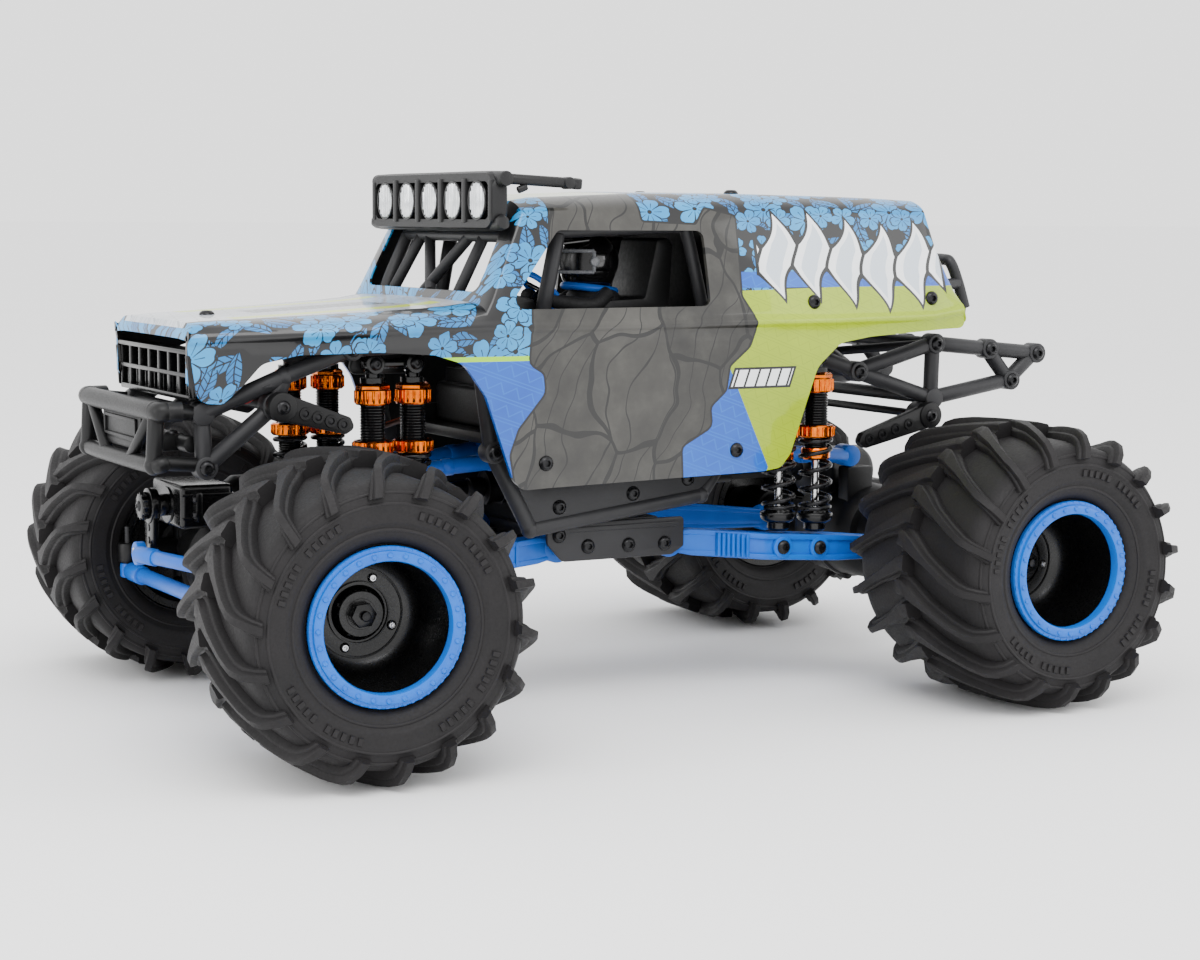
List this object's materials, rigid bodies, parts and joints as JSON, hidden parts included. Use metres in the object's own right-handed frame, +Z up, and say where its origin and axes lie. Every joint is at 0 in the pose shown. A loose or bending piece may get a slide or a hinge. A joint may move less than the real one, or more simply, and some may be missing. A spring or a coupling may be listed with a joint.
{
  "type": "radio-controlled monster truck",
  "caption": "Small radio-controlled solid-axle monster truck with a printed shell, roof light bar, sprung axles on links, steered front wheels and big treaded tyres.",
  "frame": {"origin": "on the ground under the middle of the truck's outline", "axes": "+X towards the nose, +Y towards the truck's left side, +Z up"},
  "size_m": [0.2587, 0.194, 0.1339],
  "materials": {
    "tyre": "matte",
    "rim": "satin black",
    "blue": "satin bright blue",
    "nylon": "matte black",
    "cage": "matte dark grey",
    "amber": "anodised amber",
    "steel": "polished",
    "spring": "gloss black",
    "shell": "gloss printed blue, grey and lime",
    "lamp": "satin charcoal",
    "case": "satin black",
    "suit": "black"
  },
  "bodies": {
    "chassis": {"cage_left": "cage", "cage_right": "cage", "skid_plate": "cage", "front_bumper": "nylon", "gearbox": "case", "body_shell": "shell", "grille": "nylon", "light_bar": "lamp", "inner_cage": "cage", "driver": "suit", "shock_body_fl": "amber", "spring_fl1": "spring", "spring_fl2": "spring", "shock_body_fr": "amber", "spring_fr1": "spring", "spring_fr2": "spring", "shock_body_rl": "amber", "spring_rl1": "spring", "spring_rl2": "spring", "shock_body_rr": "amber", "spring_rr1": "spring", "spring_rr2": "spring"},
    "wheel_fl": {"tyre_fl": "tyre", "rim_fl": "rim", "ring_fl": "blue"},
    "arm_fl": {"lower_arm_fl": "blue"},
    "wheel_fr": {"tyre_fr": "tyre", "rim_fr": "rim", "ring_fr": "blue"},
    "arm_fr": {"lower_arm_fr": "blue"},
    "wheel_rl": {"tyre_rl": "tyre", "rim_rl": "rim", "ring_rl": "blue"},
    "arm_rl": {"lower_arm_rl": "blue"},
    "wheel_rr": {"tyre_rr": "tyre", "rim_rr": "rim", "ring_rr": "blue"},
    "arm_rr": {"lower_arm_rr": "blue"},
    "knuckle_l": {"knuckle_l": "nylon"},
    "knuckle_r": {"knuckle_r": "nylon"},
    "axle_front": {"axle_front": "nylon", "steering_servo": "case"},
    "axle_rear": {"axle_rear": "nylon"},
    "upper_front": {"upper_link_front": "blue"},
    "upper_rear": {"upper_link_rear": "blue"},
    "tie_rod": {"tie_rod": "blue"},
    "drag_link": {"drag_link": "blue"},
    "horn": {"servo_horn": "nylon"},
    "shaft_front": {"driveshaft_front": "nylon"},
    "shaft_rear": {"driveshaft_rear": "nylon"},
    "sway_front": {"sway_bar_front": "nylon"},
    "sway_rear": {"sway_bar_rear": "nylon"},
    "shock_shaft_fl1": {"shock_shaft_fl1": "steel"},
    "shock_shaft_fl2": {"shock_shaft_fl2": "steel"},
    "shock_shaft_fr1": {"shock_shaft_fr1": "steel"},
    "shock_shaft_fr2": {"shock_shaft_fr2": "steel"},
    "shock_shaft_rl1": {"shock_shaft_rl1": "steel"},
    "shock_shaft_rl2": {"shock_shaft_rl2": "steel"},
    "shock_shaft_rr1": {"shock_shaft_rr1": "steel"},
    "shock_shaft_rr2": {"shock_shaft_rr2": "steel"}
  },
  "joints": [
    {"name": "front_bump", "type": "hinge", "parent": "chassis", "child": "arm_fl", "pos_m": [0.0199, 0, 0.0402], "axis": [0, -1, 0], "range_deg": [-6, 8], "stiffness_Nm_per_rad": 0.6, "springref_deg": -20.05},
    {"name": "arm_fr_swing", "type": "hinge", "parent": "chassis", "child": "arm_fr", "pos_m": [0.0199, 0, 0.0402], "axis": [0, -1, 0], "range_deg": [-6.14, 8.14]},
    {"name": "axle_front_level", "type": "hinge", "parent": "arm_fl", "child": "axle_front", "pos_m": [0.0809, 0, 0.0356], "axis": [0, -1, 0], "range_deg": [-8.14, 6.14]},
    {"name": "upper_front_swing", "type": "hinge", "parent": "chassis", "child": "upper_front", "pos_m": [0.0219, 0, 0.0622], "axis": [0, -1, 0], "range_deg": [-6.14, 8.14]},
    {"name": "shock_fl1_slide", "type": "slide", "parent": "chassis", "child": "shock_shaft_fl1", "axis": [0, 0, 1], "range_m": [-0.00434, 0.00575], "deforming": ["spring_fl1"]},
    {"name": "shock_fl2_slide", "type": "slide", "parent": "chassis", "child": "shock_shaft_fl2", "axis": [0, 0, 1], "range_m": [-0.00547, 0.00725], "deforming": ["spring_fl2"]},
    {"name": "shock_fr1_slide", "type": "slide", "parent": "chassis", "child": "shock_shaft_fr1", "axis": [0, 0, 1], "range_m": [-0.00434, 0.00575], "deforming": ["spring_fr1"]},
    {"name": "shock_fr2_slide", "type": "slide", "parent": "chassis", "child": "shock_shaft_fr2", "axis": [0, 0, 1], "range_m": [-0.00547, 0.00725], "deforming": ["spring_fr2"]},
    {"name": "rear_bump", "type": "hinge", "parent": "chassis", "child": "arm_rl", "pos_m": [-0.0111, 0, 0.0402], "axis": [0, 1, 0], "range_deg": [-6, 8], "stiffness_Nm_per_rad": 0.6, "springref_deg": -20.05},
    {"name": "arm_rr_swing", "type": "hinge", "parent": "chassis", "child": "arm_rr", "pos_m": [-0.0111, 0, 0.0402], "axis": [0, 1, 0], "range_deg": [-6.14, 8.14]},
    {"name": "axle_rear_level", "type": "hinge", "parent": "arm_rl", "child": "axle_rear", "pos_m": [-0.0791, 0, 0.0356], "axis": [0, 1, 0], "range_deg": [-8.14, 6.14]},
    {"name": "upper_rear_swing", "type": "hinge", "parent": "chassis", "child": "upper_rear", "pos_m": [-0.0131, 0, 0.0622], "axis": [0, 1, 0], "range_deg": [-6.14, 8.14]},
    {"name": "shock_rl1_slide", "type": "slide", "parent": "chassis", "child": "shock_shaft_rl1", "axis": [0, 0, 1], "range_m": [-0.00305, 0.00405], "deforming": ["spring_rl1"]},
    {"name": "shock_rl2_slide", "type": "slide", "parent": "chassis", "child": "shock_shaft_rl2", "axis": [0, 0, 1], "range_m": [-0.00426, 0.00565], "deforming": ["spring_rl2"]},
    {"name": "shock_rr1_slide", "type": "slide", "parent": "chassis", "child": "shock_shaft_rr1", "axis": [0, 0, 1], "range_m": [-0.00305, 0.00405], "deforming": ["spring_rr1"]},
    {"name": "shock_rr2_slide", "type": "slide", "parent": "chassis", "child": "shock_shaft_rr2", "axis": [0, 0, 1], "range_m": [-0.00426, 0.00565], "deforming": ["spring_rr2"]},
    {"name": "sway_front_turn", "type": "hinge", "parent": "chassis", "child": "sway_front", "pos_m": [0.0963, 0, 0.0788], "axis": [0, 1, 0], "range_deg": [-15.35, 20.35]},
    {"name": "sway_rear_turn", "type": "hinge", "parent": "chassis", "child": "sway_rear", "pos_m": [-0.0884, 0, 0.0706], "axis": [0, -1, 0], "range_deg": [-12.89, 17.09]},
    {"name": "shaft_front_tilt", "type": "hinge", "parent": "chassis", "child": "shaft_front", "pos_m": [0.0259, -0.006, 0.0525], "axis": [0, -1, 0], "range_deg": [-7.43, 9.85]},
    {"name": "shaft_rear_tilt", "type": "hinge", "parent": "chassis", "child": "shaft_rear", "pos_m": [-0.0191, -0.006, 0.0525], "axis": [0, 1, 0], "range_deg": [-7.55, 10.01]},
    {"name": "steer_left", "type": "hinge", "parent": "axle_front", "child": "knuckle_l", "pos_m": [0.0914, 0.0514, 0.036], "axis": [0, 0, 1], "range_deg": [-8.8, 19.2]},
    {"name": "steer_right", "type": "hinge", "parent": "axle_front", "child": "knuckle_r", "pos_m": [0.0914, -0.0514, 0.036], "axis": [0, 0, 1], "range_deg": [-9.08, 19.48]},
    {"name": "tie_rod_shift", "type": "slide", "parent": "axle_front", "child": "tie_rod", "axis": [0, 1, 0], "range_m": [-0.00276, 0.00592]},
    {"name": "drag_link_shift", "type": "slide", "parent": "axle_front", "child": "drag_link", "axis": [0, 1, 0], "range_m": [-0.00265, 0.0057]},
    {"name": "servo_horn_turn", "type": "hinge", "parent": "axle_front", "child": "horn", "pos_m": [0.1155, -0.002, 0.053], "axis": [1, 0, 0], "range_deg": [-13.22, 28.37]},
    {"name": "wheel_fl_spin", "type": "hinge", "parent": "knuckle_l", "child": "wheel_fl", "pos_m": [0.09304, 0.06943, 0.036], "axis": [0.0906, 0.9959, 0], "continuous": true},
    {"name": "wheel_fr_spin", "type": "hinge", "parent": "knuckle_r", "child": "wheel_fr", "pos_m": [0.08976, -0.06943, 0.036], "axis": [0.0906, 0.9959, 0], "continuous": true},
    {"name": "wheel_rl_spin", "type": "hinge", "parent": "axle_rear", "child": "wheel_rl", "pos_m": [-0.0896, 0.0695, 0.036], "axis": [0, 1, 0], "continuous": true},
    {"name": "wheel_rr_spin", "type": "hinge", "parent": "axle_rear", "child": "wheel_rr", "pos_m": [-0.0896, -0.0695, 0.036], "axis": [0, 1, 0], "continuous": true}
  ],
  "couplings": [
    {"joint": "arm_fr_swing", "follows": "front_bump", "ratio": 1},
    {"joint": "axle_front_level", "follows": "front_bump", "ratio": -1},
    {"joint": "upper_front_swing", "follows": "front_bump", "ratio": 1},
    {"joint": "shock_fl1_slide", "follows": "front_bump", "m_per_rad": 0.0405},
    {"joint": "shock_fl2_slide", "follows": "front_bump", "m_per_rad": 0.051},
    {"joint": "shock_fr1_slide", "follows": "front_bump", "m_per_rad": 0.0405},
    {"joint": "shock_fr2_slide", "follows": "front_bump", "m_per_rad": 0.051},
    {"joint": "arm_rr_swing", "follows": "rear_bump", "ratio": 1},
    {"joint": "axle_rear_level", "follows": "rear_bump", "ratio": -1},
    {"joint": "upper_rear_swing", "follows": "rear_bump", "ratio": 1},
    {"joint": "shock_rl1_slide", "follows": "rear_bump", "m_per_rad": 0.0285},
    {"joint": "shock_rl2_slide", "follows": "rear_bump", "m_per_rad": 0.0398},
    {"joint": "shock_rr1_slide", "follows": "rear_bump", "m_per_rad": 0.0285},
    {"joint": "shock_rr2_slide", "follows": "rear_bump", "m_per_rad": 0.0398},
    {"joint": "sway_front_turn", "follows": "front_bump", "ratio": 2.5},
    {"joint": "sway_rear_turn", "follows": "rear_bump", "ratio": 2.1},
    {"joint": "shaft_front_tilt", "follows": "front_bump", "ratio": 1.21},
    {"joint": "shaft_rear_tilt", "follows": "rear_bump", "ratio": 1.23},
    {"joint": "steer_right", "follows": "steer_left", "ratio": 1},
    {"joint": "tie_rod_shift", "follows": "steer_left", "m_per_rad": 0.0174},
    {"joint": "drag_link_shift", "follows": "steer_left", "m_per_rad": 0.01675},
    {"joint": "servo_horn_turn", "follows": "steer_left", "ratio": 1.4565}
  ]
}
